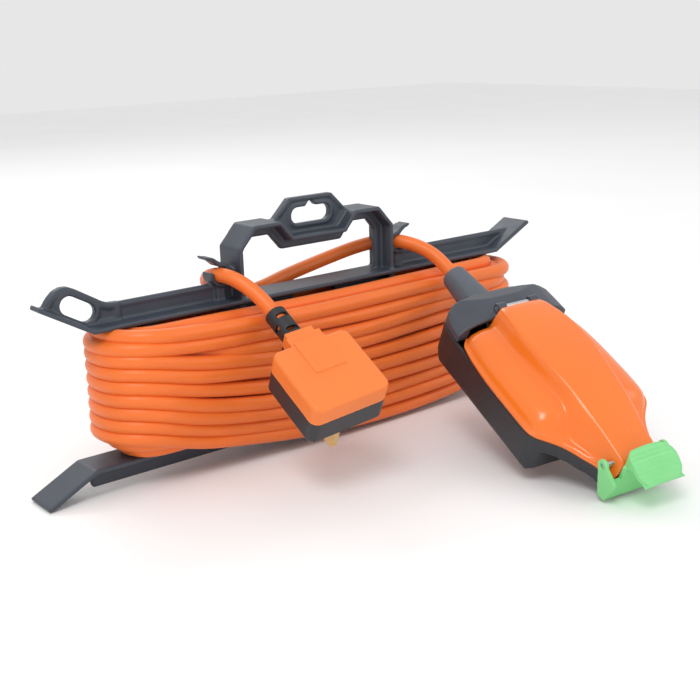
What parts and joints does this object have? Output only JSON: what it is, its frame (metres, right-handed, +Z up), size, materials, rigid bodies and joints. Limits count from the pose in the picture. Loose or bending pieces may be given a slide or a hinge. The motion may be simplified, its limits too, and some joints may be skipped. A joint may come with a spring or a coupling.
{
  "type": "extension cord on carrier",
  "caption": "Long outdoor extension cord wound on an H-shaped carrier with a handle, with a fused plug and a latched weatherproof socket",
  "frame": {"origin": "on the ground under the middle of the H-shaped carrier", "axes": "+X along the carrier's bars, from the slotted eye to the plain paddle; -Y towards the side where the plug and socket hang; +Z up"},
  "size_m": [0.3722, 0.2632, 0.1451],
  "materials": {
    "frame_plastic": "slate blue-grey moulded plastic, satin",
    "cable_sheath": "orange flexible sheath, semi-matt",
    "orange_plastic": "orange moulded plastic, glossy",
    "dark_plastic": "anthracite moulded plastic, satin",
    "slate_plastic": "slate moulded plastic, satin",
    "slate_rubber": "slate grey flexible sleeve",
    "black_rubber": "black soft rubber",
    "mint_plastic": "mint green moulded plastic",
    "white_plastic": "white insulating plastic",
    "brass": "plain brass",
    "steel": "zinc plated steel",
    "ceramic": "ceramic fuse body"
  },
  "bodies": {
    "carrier": {"cable_frame": "frame_plastic", "cable_coil": "cable_sheath", "plug_tail": "cable_sheath", "socket_tail": "cable_sheath", "plug_cover": "orange_plastic", "plug_base": "dark_plastic", "plug_strain_relief": "black_rubber", "live_pin": "brass", "neutral_pin": "brass", "earth_pin": "brass", "pin_sleeves": "dark_plastic", "fuse_clips": "brass", "plug_cord_grip": "white_plastic", "plug_cover_screw": "steel", "plug_terminal_screws": "brass", "socket_base": "dark_plastic", "socket_rear_cap": "slate_plastic", "cable_sleeve": "slate_rubber", "lid_hinge_pin": "steel", "socket_faceplate": "dark_plastic", "live_contact": "brass", "neutral_contact": "brass", "earth_contact": "brass", "socket_terminal_screws": "brass", "faceplate_bosses": "dark_plastic", "faceplate_screws": "steel", "shutter_stop": "dark_plastic", "shutter_spring": "steel", "socket_cord_clamp": "white_plastic", "lid_gasket": "black_rubber", "nose_seal": "black_rubber"},
    "lid": {"socket_lid": "orange_plastic", "latch_pin": "steel"},
    "latch": {"latch": "mint_plastic"},
    "shutter": {"shutter": "white_plastic"},
    "fuse_holder": {"fuse_carrier": "orange_plastic", "fuse": "ceramic"}
  },
  "joints": [
    {"name": "lid_hinge", "type": "hinge", "parent": "carrier", "child": "lid", "pos_m": [0.06956, -0.10384, 0.08382], "axis": [-0.981, 0.1849, -0.0588], "range_deg": [0, 100]},
    {"name": "latch_lever", "type": "hinge", "parent": "lid", "child": "latch", "pos_m": [0.05507, -0.20056, 0.02157], "axis": [-0.981, 0.1849, -0.0588], "range_deg": [0, 60]},
    {"name": "shutter_slide", "type": "slide", "parent": "carrier", "child": "shutter", "axis": [0.1374, 0.876, 0.4624], "range_m": [0, 0.006], "stiffness_N_per_m": 120, "springref_m": -0.002, "deforming": ["shutter_spring"]},
    {"name": "fuse_carrier_pull", "type": "slide", "parent": "carrier", "child": "fuse_holder", "axis": [0.1607, 0.5041, -0.8485], "range_m": [0, 0.018]}
  ]
}
